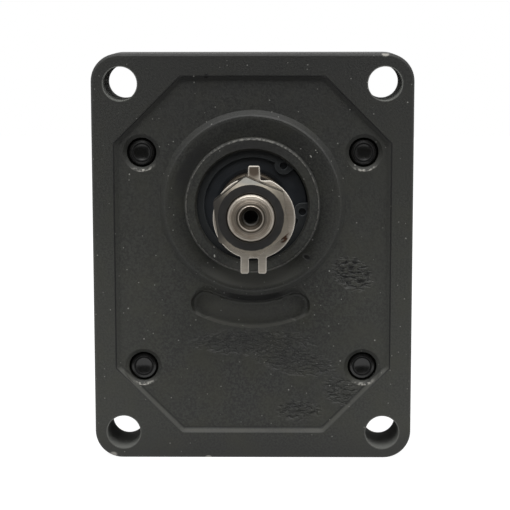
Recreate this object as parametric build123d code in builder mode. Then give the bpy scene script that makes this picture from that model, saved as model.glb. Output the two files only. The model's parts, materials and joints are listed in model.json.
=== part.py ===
from build123d import *
import os
from math import acos, asin, cos, degrees, pi, radians, sin, sqrt, tan

# External gear pump with a rectangular four-bolt flange and a tapered drive shaft.
# Frame: the drive shaft lies along Y with its nose towards -Y, +Z is up and +X is to the right
# as seen from the shaft end. The origin is on the shaft axis in the plane of the mounting face.

# ---- Driving dimensions, millimetres ----------------------------------------------------------

# mounting interface
mount_spacing_x = 71.4      # mounting holes, side to side
mount_spacing_z = 96.0      # mounting holes, top to bottom
mount_hole_r = 4.6
shaft_drop = 32.5           # shaft axis below the upper pair of mounting holes
pilot_r = 18.25
pilot_height = 5.2
pilot_chamfer = 0.9
pilot_relief = 0.4          # undercut below the mounting face

# front flange
flange_side_margin = 7.9    # mounting holes to the side edges
flange_top_margin = 8.1     # upper mounting holes to the upper edge
flange_bottom_margin = 7.3
flange_thick = 18.3
flange_corner_r = 7.5
flange_edge_r = 0.8
pocket_depth = 1.4          # relief in the mounting face
pocket_slope = 40.0         # lean of the relief's walls, degrees
rim_crest_outer_r = 24.0    # raised ring round the pilot
rim_crest_width = 0.9
rim_crest_edge_r = 0.7
rim_outer_slope = 1.4
rim_dish_depth = 0.8        # the ring dishes inwards, down to the pilot
kidney_inner_r = 26.9       # curved relief below the ring
kidney_width = 7.5
kidney_wall_lean = 16.0     # degrees
kidney_brow_rise = 1.3      # its wall nearest the ring leans more
kidney_brow_depth = 1.4
kidney_brow_lean = 42.0
kidney_depth = 2.6
kidney_middle = -91.2       # direction of its middle, degrees
kidney_sweep = 48.6         # between the centres of its round ends, degrees
kidney_floor_r = 1.2

# eight-sided outline of the body and the rear cover, which the relief repeats
body_width = 75.2
body_top = 34.5             # above the shaft axis
body_bottom = 63.7          # below the shaft axis
body_bevel = 18.1
body_corner_r = 6.0
cover_thick = 18.0
cover_edge_r = 3.0

# through bolts
bolt_side_margin = 7.4      # bolts to the body's sides
bolt_top_margin = 20.7      # upper bolts to the body's top
bolt_bottom_margin = 18.25  # lower bolts to the body's underside
bolt_r = 4.0
bolt_length = 95.0
bolt_head_r = 6.5
bolt_head_height = 8.0
bolt_socket_flat = 6.0
bolt_socket_depth = 4.0
bolt_head_chamfer = 0.9
bolt_end_face_r = 3.35
bolt_end_chamfer = 1.1      # its length along the bolt
bolt_end_bevel = 0.2        # slope of the ring round the dish
bolt_dish_r = 2.45          # dished middle of the bolt's end
bolt_dish_step = 0.15
bolt_dish_depth = 0.6
thread_clearance = 0.05
bolt_clearance = 0.35       # round the shank in the body and the cover
bolt_hole_mouth_r = 5.1
washer_r = 7.6
washer_thick = 1.6

# gears and journals
gear_teeth = 12
gear_module = 2.6
gear_pressure_angle = 25.0
gear_width = 22.0
gear_backlash = 0.12
gear_root_clearance = 0.25  # share of the module
gear_root_fillet = 0.5
journal_r = 9.0
journal_end_gap = 1.0
tip_clearance = 0.06

# bearing blocks and bushes
block_length = 18.9
block_clearance = 0.04
side_float = 0.2            # sum of the gaps along the shaft
bush_wall = 1.5
bush_running_clearance = 0.02
bush_seat_clearance = 0.01
bush_setback = 0.4
relief_depth = 1.6          # trapped-oil pockets beside the mesh
relief_width = 5.0
relief_height = 6.0
relief_offset = 7.2

# seals at the joint faces and behind the bearing blocks
seal_groove_margin = 2.4    # chamber wall to the groove
seal_groove_width = 2.6
seal_groove_depth = 2.0
seal_clearance = 0.05
pressure_groove_width = 2.4
pressure_groove_depth = 2.2
pressure_groove_r = 13.4
pressure_groove_start = -60.0   # lower end of the upper arc, degrees
pressure_groove_sweep = 200.0
backup_depth = 0.9

# ports
port_rise = 0.0             # above the middle of the two gears
inlet_thread_r = 12.06
outlet_thread_r = 9.32
port_thread_depth = 16.0
port_core_wall = 3.0        # thread radius less the radius of the passage behind it
port_face_margin = 4.5
port_face_depth = 0.6
port_mouth_chamfer = 1.2

# dowels
dowel_r = 3.0
dowel_length = 14.0
dowel_clearance = 0.02
dowel_rise = 11.5           # above and below the middle of the gears

# tapered shaft end
shaft_reach = 32.5          # mounting face to the shaft's front end
taper_large_r = 8.5
taper_start = 6.5           # mounting face to the large end of the taper
taper_end = 23.1            # mounting face to the small end of the taper
taper_ratio = 8.0           # length over change of diameter
shoulder_chamfer = 0.4
thread_r = 6.0
thread_chamfer = 0.95
relief_groove_r = 5.1
relief_groove_length = 1.5
centre_sink_r = 3.1
centre_hole_r = 1.85
centre_hole_depth = 10.0

# woodruff key
key_width = 3.2
key_disc_r = 6.5
key_height = 5.0
key_stand = 1.3             # height above the taper
key_clearance = 0.02

# tab washer and shaft nut
tab_washer_r = 10.6
tab_washer_hole_r = 7.2
tab_washer_thick = 1.2
tab_washer_flat = 9.7       # its centre to the flats beside the tab
tab_washer_shift_x = 0.72   # it hangs loose on the thread
tab_washer_shift_z = -0.95
tab_width = 3.1
tab_reach = 13.5
prong_width = 2.1
prong_gap = 2.45
prong_reach = 14.4
prong_shift = -0.15         # prongs to the left of the disc's middle
prong_slot_top = 10.4
prong_corner_r = 0.45
nut_flats = 18.0
nut_thick = 7.0
nut_chamfer_r = 8.4
nut_chamfer_slope = 30.0
nut_turn = 7.8              # corner's turn from straight up, degrees
nut_mouth_chamfer = 0.5

# shaft seal and its circlip
seal_bore_r = 15.0
seal_bore_chamfer = 0.5
seal_width = 7.0
seal_skin = 0.8
seal_case_wall = 1.1
seal_case_clearance = 0.02
seal_lip_clearance = 0.04
seal_disc_hole_r = 10.6     # hole in the case's face
spring_seat_step = 0.5      # case's hole to the garter spring's seat
spring_setback = 2.4        # seal's rear face to the garter spring
garter_r = 0.6
circlip_thick = 1.2
circlip_groove_r = 15.7
circlip_setback = 1.9       # pilot face to the circlip
circlip_width = 2.7
circlip_play = 0.05
circlip_lug_r = 2.4
circlip_eye_ring_r = 13.6   # shaft axis to the eyes
circlip_eye_r = 1.0
circlip_low_lug = -7.5      # directions of the two lugs, degrees
circlip_high_lug = 52.0
seal_cavity_r = 12.5
seal_cavity_length = 2.0
shaft_hole_r = 9.6

# ---- Values worked out from them --------------------------------------------------------------

pitch_r = gear_module * gear_teeth / 2
centre_distance = 2 * pitch_r
base_r = pitch_r * cos(radians(gear_pressure_angle))
tip_r = pitch_r + gear_module
root_r = pitch_r - (1 + gear_root_clearance) * gear_module
chamber_r = tip_r + tip_clearance
block_r = chamber_r - block_clearance

mount_middle_z = shaft_drop - mount_spacing_z / 2
flange_width = mount_spacing_x + 2 * flange_side_margin
flange_height = mount_spacing_z + flange_top_margin + flange_bottom_margin
flange_middle_z = mount_middle_z + (flange_top_margin - flange_bottom_margin) / 2
bolt_spacing_x = body_width - 2 * bolt_side_margin
bolt_spacing_z = body_top - bolt_top_margin + body_bottom - bolt_bottom_margin
bolt_middle_z = body_top - bolt_top_margin - bolt_spacing_z / 2
gears_middle_z = -centre_distance / 2

# depths behind the mounting face
body_front = flange_thick
body_length = 2 * block_length + gear_width + side_float
body_rear = body_front + body_length
cover_rear = body_rear + cover_thick
gap = side_float / 4
front_block_front = body_front + gap
gear_front = front_block_front + block_length + gap
gear_rear = gear_front + gear_width
rear_block_front = gear_rear + gap
port_depth_y = body_front + body_length / 2
bolt_seat = cover_rear + washer_thick
bolt_tip = bolt_seat - bolt_length

# two dowels, diagonally across the gears
dowel_places = [
    (side * bolt_spacing_x / 2, gears_middle_z - side * dowel_rise) for side in (-1, 1)
]

taper_small_r = taper_large_r - (taper_end - taper_start) / (2 * taper_ratio)
nut_back = -taper_end - tab_washer_thick
bush_outer_r = journal_r + bush_running_clearance + bush_wall
circlip_front = circlip_setback - pilot_height
seal_front = circlip_front + circlip_thick + circlip_play
seal_rear = seal_front + seal_width
seal_groove_r = chamber_r + seal_groove_margin

drive_axis = Axis.Y
driven_axis = Axis((0, 0, -centre_distance), (0, 1, 0))


def at_depth(depth):
    """Plane facing the shaft end, the given depth behind the mounting face."""
    return Plane.XZ.offset(-depth)


def body_corners():
    """Corners of the eight-sided outline, in a plane across the shaft."""
    side = body_width / 2
    return [
        (side - body_bevel, body_top),
        (side, body_top - body_bevel),
        (side, body_bevel - body_bottom),
        (side - body_bevel, -body_bottom),
        (body_bevel - side, -body_bottom),
        (-side, body_bevel - body_bottom),
        (-side, body_top - body_bevel),
        (body_bevel - side, body_top),
    ]


def involute(angle):
    """Involute function of a pressure angle in radians."""
    return tan(angle) - angle


def flank_point(radius, side):
    """Point of a tooth flank at a radius, for a tooth whose middle points along +X."""
    half = pi / (2 * gear_teeth) - gear_backlash / (4 * pitch_r)
    lean = involute(radians(gear_pressure_angle)) - involute(acos(base_r / radius))
    return radius * cos(half + lean), side * radius * sin(half + lean)


def write(part, label):
    """Label a finished piece and save it."""
    part.part.label = label
    export_step(part.part, f"parts/{label}.step")


os.makedirs("parts", exist_ok=True)

# ---- Front flange -----------------------------------------------------------------------------

with BuildPart(Plane.XZ) as front_flange:
    with BuildSketch(at_depth(flange_thick)):
        with Locations((0, flange_middle_z)):
            RectangleRounded(flange_width, flange_height, flange_corner_r)
    extrude(amount=flange_thick)
    faces_round = front_flange.faces().filter_by(Axis.Y)
    fillet(faces_round.edges(), flange_edge_r)

    # shallow relief that leaves a machined border round the mounting holes
    with BuildSketch(at_depth(0)) as relief:
        Polygon(*body_corners(), align=None)
        fillet(relief.vertices(), body_corner_r / 2)
    extrude(amount=-pocket_depth, taper=pocket_slope, mode=Mode.SUBTRACT)

    # raised ring round the pilot, with a valley between the two
    with BuildSketch(Plane.XY) as ring_section:
        with BuildLine():
            Polyline(
                (0, 2 * pocket_depth),
                (rim_crest_outer_r + rim_outer_slope, 2 * pocket_depth),
                (rim_crest_outer_r + rim_outer_slope, pocket_depth),
                (rim_crest_outer_r, 0),
                (rim_crest_outer_r - rim_crest_width, 0),
                (pilot_r - pilot_relief, rim_dish_depth),
                (pilot_r - pilot_relief, 0),
                (pilot_r, 0),
                (pilot_r, pilot_chamfer - pilot_height),
                (pilot_r - pilot_chamfer, -pilot_height),
                (0, -pilot_height),
                close=True,
            )
        make_face()
        crest_corners = ring_section.vertices().filter_by_position(
            Axis.X, rim_crest_outer_r - rim_crest_width - 0.01, rim_crest_outer_r + 0.01
        )
        fillet(crest_corners, rim_crest_edge_r)
    revolve(axis=drive_axis)

    # curved relief below the ring, cut a second time higher up for its leaning upper wall
    kidney_start = kidney_middle - kidney_sweep / 2
    for rise, depth, lean in (
        (0, kidney_depth, kidney_wall_lean),
        (kidney_brow_rise, kidney_brow_depth, kidney_brow_lean),
    ):
        near_r = kidney_inner_r - rise
        with BuildSketch(at_depth(pocket_depth)):
            with BuildLine():
                near = CenterArc((0, 0), near_r, kidney_start, kidney_sweep)
                far = CenterArc((0, 0), near_r + kidney_width, kidney_start, kidney_sweep)
                TangentArc(far @ 1, near @ 1, tangent=far % 1)
                TangentArc(near @ 0, far @ 0, tangent=-(near % 0))
            make_face()
        extrude(amount=-depth, taper=lean, mode=Mode.SUBTRACT)
    kidney_floor = front_flange.faces().filter_by(Axis.Y).filter_by_position(
        Axis.Y, pocket_depth + kidney_depth - 0.01, pocket_depth + kidney_depth + 0.01
    )
    fillet(kidney_floor.edges(), kidney_floor_r)

    # stepped bore for the seal, its circlip and the shaft
    cavity_rear = seal_rear + seal_cavity_length
    with BuildSketch(Plane.XY):
        with BuildLine():
            Polyline(
                (0, -pilot_height),
                (seal_bore_r + seal_bore_chamfer, -pilot_height),
                (seal_bore_r, seal_bore_chamfer - pilot_height),
                (seal_bore_r, circlip_front - circlip_play),
                (circlip_groove_r, circlip_front - circlip_play),
                (circlip_groove_r, circlip_front + circlip_thick + circlip_play / 2),
                (seal_bore_r, circlip_front + circlip_thick + circlip_play / 2),
                (seal_bore_r, seal_rear + circlip_play),
                (seal_cavity_r, seal_rear + circlip_play),
                (seal_cavity_r, cavity_rear),
                (shaft_hole_r, cavity_rear),
                (shaft_hole_r, flange_thick),
                (0, flange_thick),
                close=True,
            )
        make_face()
    revolve(axis=drive_axis, mode=Mode.SUBTRACT)

    # plain holes for the mounting bolts
    with Locations((0, mount_middle_z)):
        with GridLocations(mount_spacing_x, mount_spacing_z, 2, 2):
            Hole(mount_hole_r)

    # threaded holes that the through bolts end in, countersunk at the relief's floor
    thread_hole_r = bolt_r + thread_clearance
    with Locations((0, bolt_middle_z, -pocket_depth)):
        with GridLocations(bolt_spacing_x, bolt_spacing_z, 2, 2):
            CounterSinkHole(thread_hole_r, bolt_hole_mouth_r, counter_sink_angle=90)

    # seats for the dowels in the joint face
    with BuildSketch(at_depth(flange_thick)):
        with Locations(*dowel_places):
            Circle(dowel_r + dowel_clearance)
    extrude(amount=dowel_length / 2 + dowel_clearance, mode=Mode.SUBTRACT)
write(front_flange, "front_flange")

# ---- Pump body --------------------------------------------------------------------------------

port_z = gears_middle_z + port_rise

with BuildPart(Plane.XZ) as pump_body:
    with BuildSketch(at_depth(body_rear)) as outline:
        Polygon(*body_corners(), align=None)
        fillet(outline.vertices(), body_corner_r)
    extrude(amount=body_length)

    # the chamber is two bores that run into each other
    with BuildSketch(at_depth(body_rear)):
        Circle(chamber_r)
        with Locations((0, -centre_distance)):
            Circle(chamber_r)
    extrude(amount=body_length, mode=Mode.SUBTRACT)

    # clearance holes for the through bolts
    with BuildSketch(at_depth(body_rear)):
        with Locations((0, bolt_middle_z)):
            with GridLocations(bolt_spacing_x, bolt_spacing_z, 2, 2):
                Circle(bolt_r + bolt_clearance)
    extrude(amount=body_length, mode=Mode.SUBTRACT)

    # seal grooves and dowel seats in both joint faces
    for joint_face, way in ((body_front, -1), (body_rear, 1)):
        with BuildSketch(at_depth(joint_face)):
            with Locations((0, gears_middle_z)):
                groove_height = 2 * (seal_groove_r + seal_groove_width)
                SlotCenterToCenter(centre_distance, groove_height, rotation=90)
                SlotCenterToCenter(centre_distance, 2 * seal_groove_r, rotation=90, mode=Mode.SUBTRACT)
        extrude(amount=way * seal_groove_depth, mode=Mode.SUBTRACT)
        with BuildSketch(at_depth(joint_face)):
            with Locations(*dowel_places):
                Circle(dowel_r + dowel_clearance)
        extrude(amount=way * (dowel_length / 2 + dowel_clearance), mode=Mode.SUBTRACT)

    # threaded ports on the two sides, each with a passage into the chamber
    for side, port_r in ((-1, inlet_thread_r), (1, outlet_thread_r)):
        face_x = body_width / 2
        bottom_x = face_x - port_face_depth - port_thread_depth
        port_axis = Axis((0, port_depth_y, port_z), (1, 0, 0))
        with BuildSketch(Plane.XY.offset(port_z)):
            with BuildLine():
                Polyline(
                    (0, port_depth_y),
                    (0, port_depth_y + port_r - port_core_wall),
                    (side * bottom_x, port_depth_y + port_r - port_core_wall),
                    (side * bottom_x, port_depth_y + port_r),
                    (side * (face_x - port_face_depth - port_mouth_chamfer), port_depth_y + port_r),
                    (side * (face_x - port_face_depth), port_depth_y + port_r + port_mouth_chamfer),
                    (side * (face_x - port_face_depth), port_depth_y + port_r + port_face_margin),
                    (side * face_x, port_depth_y + port_r + port_face_margin),
                    (side * face_x, port_depth_y),
                    close=True,
                )
            make_face()
        revolve(axis=port_axis, mode=Mode.SUBTRACT)
write(pump_body, "pump_body")

# ---- Rear cover -------------------------------------------------------------------------------

with BuildPart(Plane.XZ) as rear_cover:
    with BuildSketch(at_depth(cover_rear)) as outline:
        Polygon(*body_corners(), align=None)
        fillet(outline.vertices(), body_corner_r)
    extrude(amount=cover_thick)
    fillet(rear_cover.faces().sort_by(Axis.Y)[-1].edges(), cover_edge_r)
    with BuildSketch(at_depth(cover_rear)):
        with Locations((0, bolt_middle_z)):
            with GridLocations(bolt_spacing_x, bolt_spacing_z, 2, 2):
                Circle(bolt_r + bolt_clearance)
    extrude(amount=cover_thick, mode=Mode.SUBTRACT)
    with BuildSketch(at_depth(body_rear)):
        with Locations(*dowel_places):
            Circle(dowel_r + dowel_clearance)
    extrude(amount=-(dowel_length / 2 + dowel_clearance), mode=Mode.SUBTRACT)
write(rear_cover, "rear_cover")

# ---- Gears and shafts -------------------------------------------------------------------------

# one tooth space repeated makes the blank; a tooth points straight down
with BuildSketch() as tooth:
    flank_radii = [base_r + (tip_r - base_r) * step / 4 for step in range(5)]
    upper = [flank_point(radius, 1) for radius in flank_radii]
    lower = [flank_point(radius, -1) for radius in flank_radii]
    foot_r = root_r * 0.9
    foot = upper[0][1] / base_r * foot_r
    with BuildLine():
        Line((foot_r, foot), upper[0])
        Spline(*upper)
        RadiusArc(upper[-1], lower[-1], tip_r)
        Spline(*lower)
        Line(lower[0], (foot_r, -foot))
        Line((foot_r, -foot), (foot_r, foot))
    make_face()

with BuildSketch() as gear_outline:
    Circle(root_r)
    with PolarLocations(0, gear_teeth, start_angle=-90):
        add(tooth.sketch)
    roots = gear_outline.vertices().filter_by(
        lambda corner: abs(sqrt(corner.X**2 + corner.Y**2) - root_r) < 0.01
    )
    fillet(roots, gear_root_fillet)

with BuildPart() as drive_gear_shaft:
    with BuildSketch(at_depth(gear_rear)):
        add(gear_outline.sketch)
    extrude(amount=gear_width)
    journal_rear = gear_rear + block_length - journal_end_gap
    sink_depth = (centre_sink_r - centre_hole_r) / tan(radians(30))
    with BuildSketch(Plane.XY):
        with BuildLine():
            Polyline(
                (0, centre_hole_depth - shaft_reach),
                (centre_hole_r, centre_hole_depth - centre_hole_r / 2 - shaft_reach),
                (centre_hole_r, sink_depth - shaft_reach),
                (centre_sink_r, -shaft_reach),
                (thread_r - thread_chamfer, -shaft_reach),
                (thread_r, thread_chamfer - shaft_reach),
                (thread_r, -taper_end - relief_groove_length),
                (relief_groove_r, -taper_end - relief_groove_length * 2 / 3),
                (relief_groove_r, -taper_end),
                (taper_small_r, -taper_end),
                (taper_large_r, -taper_start),
                (journal_r - shoulder_chamfer, -taper_start),
                (journal_r, shoulder_chamfer - taper_start),
                (journal_r, journal_rear - shoulder_chamfer),
                (journal_r - shoulder_chamfer, journal_rear),
                (0, journal_rear),
                close=True,
            )
        make_face()
    revolve(axis=drive_axis)

    # half-round seat for the key, under the taper
    key_y = -(taper_start + taper_end) / 2
    key_top = (taper_large_r + taper_small_r) / 2 + key_stand
    key_centre_z = key_height - key_disc_r - key_top
    with BuildSketch(Plane.YZ.offset(-(key_width / 2 + key_clearance))):
        with Locations((key_y, key_centre_z)):
            Circle(key_disc_r + key_clearance)
    extrude(amount=key_width + 2 * key_clearance, mode=Mode.SUBTRACT)
write(drive_gear_shaft, "drive_gear_shaft")

with BuildPart() as driven_gear_shaft:
    with BuildSketch(at_depth(gear_rear)):
        with Locations((0, -centre_distance)):
            add(gear_outline.sketch, rotation=180 / gear_teeth)
    extrude(amount=gear_width)
    with BuildSketch(Plane.XY.offset(-centre_distance)):
        with BuildLine():
            Polyline(
                (0, gear_front - block_length + journal_end_gap),
                (journal_r - shoulder_chamfer, gear_front - block_length + journal_end_gap),
                (journal_r, gear_front - block_length + journal_end_gap + shoulder_chamfer),
                (journal_r, journal_rear - shoulder_chamfer),
                (journal_r - shoulder_chamfer, journal_rear),
                (0, journal_rear),
                close=True,
            )
        make_face()
    revolve(axis=driven_axis)
write(driven_gear_shaft, "driven_gear_shaft")

# ---- Bearing blocks, their bushes and pressure seals ------------------------------------------

# path of the three-shaped seal, open towards the suction side
with BuildLine(Plane.XY) as seal_path:
    upper_arc = CenterArc((0, 0), pressure_groove_r, pressure_groove_start, pressure_groove_sweep)
    lower_arc = CenterArc(
        (0, -centre_distance), pressure_groove_r, -pressure_groove_start, -pressure_groove_sweep
    )
    Line(upper_arc @ 0, lower_arc @ 0)


blocks = (
    ("front", front_block_front, 1),
    ("rear", rear_block_front + block_length, -1),
)
for end, outer_face, inward in blocks:
    with BuildPart() as block:
        with BuildSketch(at_depth(outer_face)):
            Circle(block_r)
            with Locations((0, -centre_distance)):
                Circle(block_r)
        extrude(amount=-inward * block_length)
        with BuildSketch(at_depth(outer_face)):
            with Locations((0, 0), (0, -centre_distance)):
                Circle(bush_outer_r + bush_seat_clearance)
        extrude(amount=-inward * block_length, mode=Mode.SUBTRACT)
        with BuildSketch(at_depth(outer_face)):
            trace(seal_path.edges(), line_width=pressure_groove_width)
        extrude(amount=-inward * pressure_groove_depth, mode=Mode.SUBTRACT)
        with BuildSketch(at_depth(outer_face + inward * block_length)):
            with Locations((-relief_offset, gears_middle_z), (relief_offset, gears_middle_z)):
                Rectangle(relief_width, relief_height)
        extrude(amount=inward * relief_depth, mode=Mode.SUBTRACT)
    write(block, f"{end}_bearing_block")

    rubber_floor = outer_face + inward * pressure_groove_depth
    rubber_thick = pressure_groove_depth - backup_depth - seal_clearance
    strip_width = pressure_groove_width - 2 * seal_clearance
    with BuildPart() as rubber:
        with BuildSketch(at_depth(rubber_floor)):
            trace(seal_path.edges(), line_width=strip_width)
        extrude(amount=inward * rubber_thick)
    write(rubber, f"{end}_pressure_seal")
    with BuildPart() as strip:
        with BuildSketch(at_depth(outer_face + inward * backup_depth)):
            trace(seal_path.edges(), line_width=strip_width)
        extrude(amount=inward * backup_depth)
    write(strip, f"{end}_backup_strip")

    for shaft, axis_z in (("drive", 0), ("driven", -centre_distance)):
        with BuildPart() as bush:
            with BuildSketch(at_depth(outer_face + inward * bush_setback)):
                with Locations((0, axis_z)):
                    Circle(bush_outer_r)
                    Circle(journal_r + bush_running_clearance, mode=Mode.SUBTRACT)
            extrude(amount=-inward * (block_length - 2 * bush_setback))
        write(bush, f"{shaft}_{end}_bush")

# ---- Joint-face seals and dowels --------------------------------------------------------------

joints = (("front", body_front, 1), ("rear", body_rear, -1))
for end, joint_face, inward in joints:
    with BuildPart() as joint_seal:
        with BuildSketch(at_depth(joint_face)):
            with Locations((0, gears_middle_z)):
                outer = seal_groove_r + seal_groove_width - seal_clearance
                SlotCenterToCenter(centre_distance, 2 * outer, rotation=90)
                inner = seal_groove_r + seal_clearance
                SlotCenterToCenter(centre_distance, 2 * inner, rotation=90, mode=Mode.SUBTRACT)
        extrude(amount=-inward * (seal_groove_depth - seal_clearance))
    write(joint_seal, f"{end}_body_seal")
    with BuildPart() as dowels:
        with BuildSketch(at_depth(joint_face + dowel_length / 2)):
            with Locations(*dowel_places):
                Circle(dowel_r)
        extrude(amount=dowel_length)
        chamfer(dowels.edges().filter_by(GeomType.CIRCLE), dowel_r / 6)
    write(dowels, f"{end}_dowels")

# ---- Shaft seal and circlip -------------------------------------------------------------------

case_r = seal_bore_r - seal_case_clearance
disc_rear = seal_front + seal_skin + seal_case_wall
with BuildPart() as shaft_seal_case:
    with BuildSketch(Plane.XY):
        with BuildLine():
            Polyline(
                (seal_disc_hole_r, seal_front + seal_skin),
                (case_r, seal_front + seal_skin),
                (case_r, seal_rear),
                (case_r - seal_case_wall, seal_rear),
                (case_r - seal_case_wall, disc_rear),
                (seal_disc_hole_r, disc_rear),
                close=True,
            )
        make_face()
    revolve(axis=drive_axis)
write(shaft_seal_case, "shaft_seal_case")

# rubber skin over the case's face, running into a dust lip and a sprung sealing lip
contact_r = journal_r + seal_lip_clearance
spring_seat_r = seal_disc_hole_r + spring_seat_step
spring_y = seal_rear - spring_setback
groove_half = garter_r + seal_clearance
with BuildPart() as shaft_seal_lip:
    with BuildSketch(Plane.XY):
        with BuildLine():
            Polyline(
                (contact_r, seal_front + seal_skin / 4),
                (contact_r + seal_skin, seal_front),
                (case_r - seal_skin / 2, seal_front),
                (case_r, seal_front + seal_skin / 2),
                (case_r, seal_front + seal_skin),
                (seal_disc_hole_r, seal_front + seal_skin),
                (seal_disc_hole_r, disc_rear),
                (spring_seat_r + garter_r, spring_y - groove_half - seal_skin / 2),
                (spring_seat_r + garter_r, spring_y - groove_half),
                (spring_seat_r, spring_y - groove_half),
                (spring_seat_r, spring_y + groove_half),
                (spring_seat_r + garter_r, spring_y + groove_half),
                (spring_seat_r + garter_r, seal_rear - seal_skin),
                (seal_disc_hole_r, seal_rear - seal_skin / 2),
                (contact_r, spring_y + garter_r),
                (contact_r + seal_skin, disc_rear),
                (contact_r, seal_front + seal_skin),
                close=True,
            )
        make_face()
    revolve(axis=drive_axis)
write(shaft_seal_lip, "shaft_seal_lip")

with BuildPart() as seal_garter_spring:
    with BuildSketch(Plane.XY):
        with Locations((spring_seat_r + garter_r + seal_case_clearance, spring_y)):
            Circle(garter_r)
    revolve(axis=drive_axis)
write(seal_garter_spring, "seal_garter_spring")

# internal circlip with an eye at each end
ring_r = circlip_groove_r - circlip_play
lug_span = circlip_high_lug - circlip_low_lug
lug_angle = degrees(asin(circlip_lug_r / circlip_eye_ring_r))
opening = (
    circlip_low_lug + lug_angle,
    (circlip_low_lug + circlip_high_lug) / 2,
    circlip_high_lug - lug_angle,
)
with BuildPart() as seal_circlip:
    with BuildSketch(at_depth(circlip_front + circlip_thick)):
        Circle(ring_r)
        Circle(ring_r - circlip_width, mode=Mode.SUBTRACT)
        with PolarLocations(circlip_eye_ring_r, 2, circlip_low_lug, lug_span, endpoint=True):
            Circle(circlip_lug_r)
        Circle(ring_r, mode=Mode.INTERSECT)
        with PolarLocations(circlip_eye_ring_r, 2, circlip_low_lug, lug_span, endpoint=True):
            Circle(circlip_eye_r, mode=Mode.SUBTRACT)
        # the ring is open between its lugs
        Polygon(
            (0, 0),
            *[
                (2 * ring_r * cos(radians(angle)), 2 * ring_r * sin(radians(angle)))
                for angle in opening
            ],
            align=None,
            mode=Mode.SUBTRACT,
        )
    extrude(amount=circlip_thick)
write(seal_circlip, "seal_circlip")

# ---- Key, tab washer and nut on the shaft end -------------------------------------------------

with BuildPart() as woodruff_key:
    with BuildSketch(Plane.YZ.offset(-key_width / 2)):
        with Locations((key_y, key_centre_z)):
            Circle(key_disc_r)
        with Locations((key_y, -key_top - key_disc_r)):
            Rectangle(4 * key_disc_r, 2 * key_disc_r, mode=Mode.SUBTRACT)
    extrude(amount=key_width)
write(woodruff_key, "woodruff_key")

with BuildPart() as tab_washer:
    with BuildSketch(at_depth(-taper_end)) as washer_outline:
        with Locations((tab_washer_shift_x, tab_washer_shift_z)):
            Circle(tab_washer_r)
            with Locations((0, tab_washer_flat + tab_washer_r)):
                Rectangle(2 * tab_washer_r, 2 * tab_washer_r, mode=Mode.SUBTRACT)
            with Locations((0, tab_reach / 2)):
                Rectangle(tab_width, tab_reach)
            with Locations((prong_shift, -prong_reach / 2)):
                Rectangle(2 * prong_width + prong_gap, prong_reach)
            with Locations((prong_shift, -prong_slot_top - prong_reach / 2)):
                Rectangle(prong_gap, prong_reach, mode=Mode.SUBTRACT)
            # every corner but the disc's own start point at its side
            corners = washer_outline.vertices().filter_by(lambda v: abs(v.Y) > tab_washer_r / 2)
            fillet(corners, prong_corner_r)
            Circle(tab_washer_hole_r, mode=Mode.SUBTRACT)
    extrude(amount=tab_washer_thick)
write(tab_washer, "tab_washer")

with BuildPart() as shaft_nut:
    with BuildSketch(at_depth(nut_back)):
        RegularPolygon(nut_flats / 2, 6, major_radius=False, rotation=90 + nut_turn)
    extrude(amount=nut_thick)
    # both faces are turned down to a chamfer circle
    corner_r = nut_flats / sqrt(3)
    chamfer_drop = (corner_r - nut_chamfer_r) * tan(radians(nut_chamfer_slope))
    with BuildSketch(Plane.XY):
        with BuildLine():
            Polyline(
                (0, nut_back),
                (nut_chamfer_r, nut_back),
                (corner_r, nut_back - chamfer_drop),
                (corner_r, nut_back - nut_thick + chamfer_drop),
                (nut_chamfer_r, nut_back - nut_thick),
                (0, nut_back - nut_thick),
                close=True,
            )
        make_face()
    revolve(axis=drive_axis, mode=Mode.INTERSECT)
    nut_hole_r = thread_r + thread_clearance
    with BuildSketch(Plane.XY):
        with BuildLine():
            Polyline(
                (0, nut_back),
                (nut_hole_r + nut_mouth_chamfer, nut_back),
                (nut_hole_r, nut_back - nut_mouth_chamfer),
                (nut_hole_r, nut_back - nut_thick + nut_mouth_chamfer),
                (nut_hole_r + nut_mouth_chamfer, nut_back - nut_thick),
                (0, nut_back - nut_thick),
                close=True,
            )
        make_face()
    revolve(axis=drive_axis, mode=Mode.SUBTRACT)
write(shaft_nut, "shaft_nut")

# ---- Through bolts and their washers ----------------------------------------------------------

dish_rise = bolt_dish_depth - bolt_dish_step
with BuildPart() as bolt_blank:
    with BuildSketch(Plane.XY):
        with BuildLine():
            outside = Polyline(
                (bolt_dish_r, bolt_tip + bolt_dish_step),
                (bolt_dish_r, bolt_tip),
                (bolt_end_face_r, bolt_tip + bolt_end_bevel),
                (bolt_r, bolt_tip + bolt_end_chamfer),
                (bolt_r, bolt_seat),
                (bolt_head_r, bolt_seat),
                (bolt_head_r, bolt_seat + bolt_head_height - bolt_head_chamfer),
                (bolt_head_r - bolt_head_chamfer, bolt_seat + bolt_head_height),
                (0, bolt_seat + bolt_head_height),
                (0, bolt_tip + bolt_dish_depth),
            )
            dish_sphere_r = (bolt_dish_r**2 + dish_rise**2) / (2 * dish_rise)
            RadiusArc(outside @ 1, outside @ 0, dish_sphere_r)
        make_face()
    revolve(axis=drive_axis)
    with BuildSketch(at_depth(bolt_seat + bolt_head_height)):
        RegularPolygon(bolt_socket_flat / 2, 6, major_radius=False)
    extrude(amount=bolt_socket_depth, mode=Mode.SUBTRACT)

with BuildPart() as washer_blank:
    with BuildSketch(at_depth(bolt_seat)):
        Circle(washer_r)
        Circle(bolt_r + bolt_clearance, mode=Mode.SUBTRACT)
    extrude(amount=washer_thick)

corners = [
    (side * bolt_spacing_x / 2, 0, bolt_middle_z + level * bolt_spacing_z / 2)
    for side in (-1, 1)
    for level in (-1, 1)
]
for blank, label in ((bolt_blank, "through_bolts"), (washer_blank, "bolt_washers")):
    with BuildPart() as group:
        with Locations(*corners):
            add(blank.part)
    write(group, label)
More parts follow.
